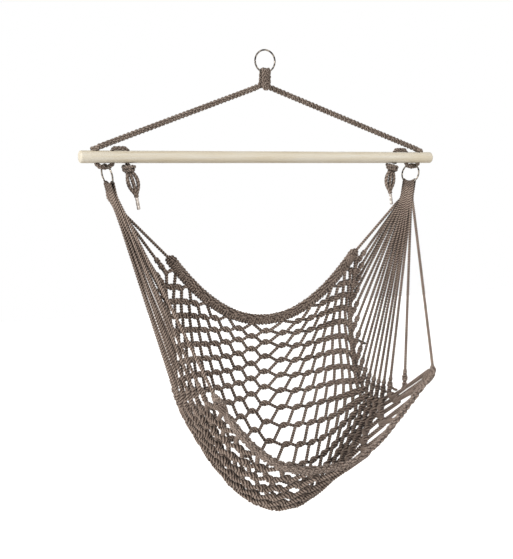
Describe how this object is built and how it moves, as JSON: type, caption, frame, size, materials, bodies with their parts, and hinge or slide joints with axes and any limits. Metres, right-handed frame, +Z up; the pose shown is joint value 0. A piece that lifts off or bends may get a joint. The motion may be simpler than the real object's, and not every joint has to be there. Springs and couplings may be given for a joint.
{
  "type": "hammock chair",
  "caption": "Hanging net seat gathered by cords to a steel ring near each end of a wooden spreader bar, which one rope hangs from a single ring.",
  "frame": {"origin": "where a hook bears on the inside top of the hanging ring", "axes": "+X along the spreader bar to the sitter's left, -Y to the sitter's front, +Z up"},
  "size_m": [0.965, 0.341, 1.0952],
  "materials": {
    "ring_steel": "bright nickel-plated wire",
    "tip_steel": "crimped bright metal",
    "bar_wood": "pale sanded hardwood, unvarnished",
    "rope_cotton": "braided soft-spun rope, matt",
    "cord_cotton": "twisted soft-spun cord, matt"
  },
  "bodies": {
    "ring": {"hanging_ring": "ring_steel"},
    "hanger": {"rope_tip_left": "tip_steel", "rope_tip_right": "tip_steel", "spreader_bar": "bar_wood", "suspension_rope": "rope_cotton"},
    "seat": {"back_rim": "cord_cotton", "clew_cord_left_01": "cord_cotton", "clew_cord_left_02": "cord_cotton", "clew_cord_left_03": "cord_cotton", "clew_cord_left_04": "cord_cotton", "clew_cord_left_05": "cord_cotton", "clew_cord_left_06": "cord_cotton", "clew_cord_left_07": "cord_cotton", "clew_cord_left_08": "cord_cotton", "clew_cord_left_09": "cord_cotton", "clew_cord_left_10": "cord_cotton", "clew_cord_left_11": "cord_cotton", "clew_cord_left_12": "cord_cotton", "clew_cord_left_13": "cord_cotton", "clew_cord_left_14": "cord_cotton", "clew_cord_left_15": "cord_cotton", "clew_cord_left_16": "cord_cotton", "clew_cord_left_17": "cord_cotton", "clew_cord_left_18": "cord_cotton", "clew_cord_right_01": "cord_cotton", "clew_cord_right_02": "cord_cotton", "clew_cord_right_03": "cord_cotton", "clew_cord_right_04": "cord_cotton", "clew_cord_right_05": "cord_cotton", "clew_cord_right_06": "cord_cotton", "clew_cord_right_07": "cord_cotton", "clew_cord_right_08": "cord_cotton", "clew_cord_right_09": "cord_cotton", "clew_cord_right_10": "cord_cotton", "clew_cord_right_11": "cord_cotton", "clew_cord_right_12": "cord_cotton", "clew_cord_right_13": "cord_cotton", "clew_cord_right_14": "cord_cotton", "clew_cord_right_15": "cord_cotton", "clew_cord_right_16": "cord_cotton", "clew_cord_right_17": "cord_cotton", "clew_cord_right_18": "cord_cotton", "clew_turns_left": "cord_cotton", "clew_turns_right": "cord_cotton", "front_rim": "cord_cotton", "net_back_left": "cord_cotton", "net_back_middle": "cord_cotton", "net_back_right": "cord_cotton", "net_front_left": "cord_cotton", "net_front_middle": "cord_cotton", "net_front_right": "cord_cotton", "net_lumbar_left": "cord_cotton", "net_lumbar_middle": "cord_cotton", "net_lumbar_right": "cord_cotton", "net_seat_left": "cord_cotton", "net_seat_middle": "cord_cotton", "net_seat_right": "cord_cotton", "seat_ring_left": "ring_steel", "seat_ring_right": "ring_steel"}
  },
  "joints": [
    {"name": "hanger_swing", "type": "hinge", "parent": "ring", "child": "hanger", "pos_m": [0, 0, -0.0517], "axis": [1, 0, 0], "range_deg": [-25, 25]},
    {"name": "seat_swing", "type": "hinge", "parent": "hanger", "child": "seat", "pos_m": [0.012, 0, -0.2817], "axis": [1, 0, 0], "range_deg": [-16, 16]}
  ]
}
